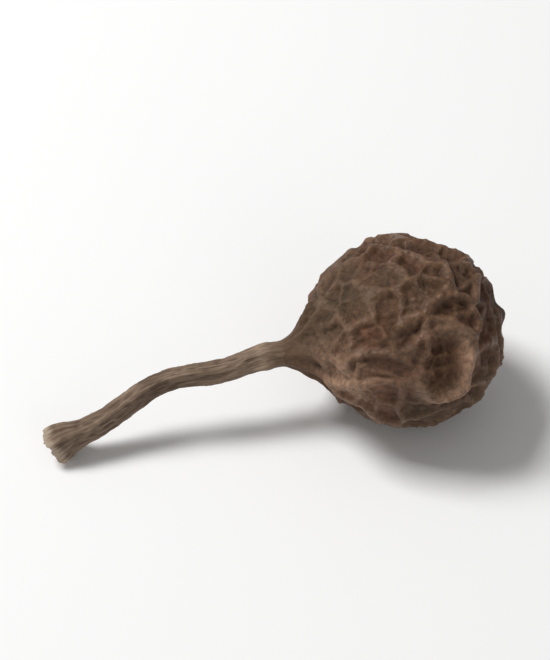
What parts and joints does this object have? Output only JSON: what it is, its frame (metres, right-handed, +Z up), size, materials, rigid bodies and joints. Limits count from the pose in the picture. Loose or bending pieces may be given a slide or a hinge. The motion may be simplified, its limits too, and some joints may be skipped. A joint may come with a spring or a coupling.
{
  "type": "ashanti pepper",
  "caption": "Dried ashanti peppercorn: a dark brown wrinkled berry lying on its side, drawn out into a neck with a thin curved stalk.",
  "frame": {"origin": "middle of the small flat spot under the berry that it rests on", "axes": "+Z up, -X towards the stalk's tip, -Y towards the side seen in the picture"},
  "size_m": [0.0109, 0.0048, 0.0044],
  "materials": {
    "skin": "dried, wrinkled and matte",
    "stem": "dried, fibrous and matte"
  },
  "bodies": {
    "root": {"berry": "skin", "stalk": "stem"}
  },
  "joints": []
}
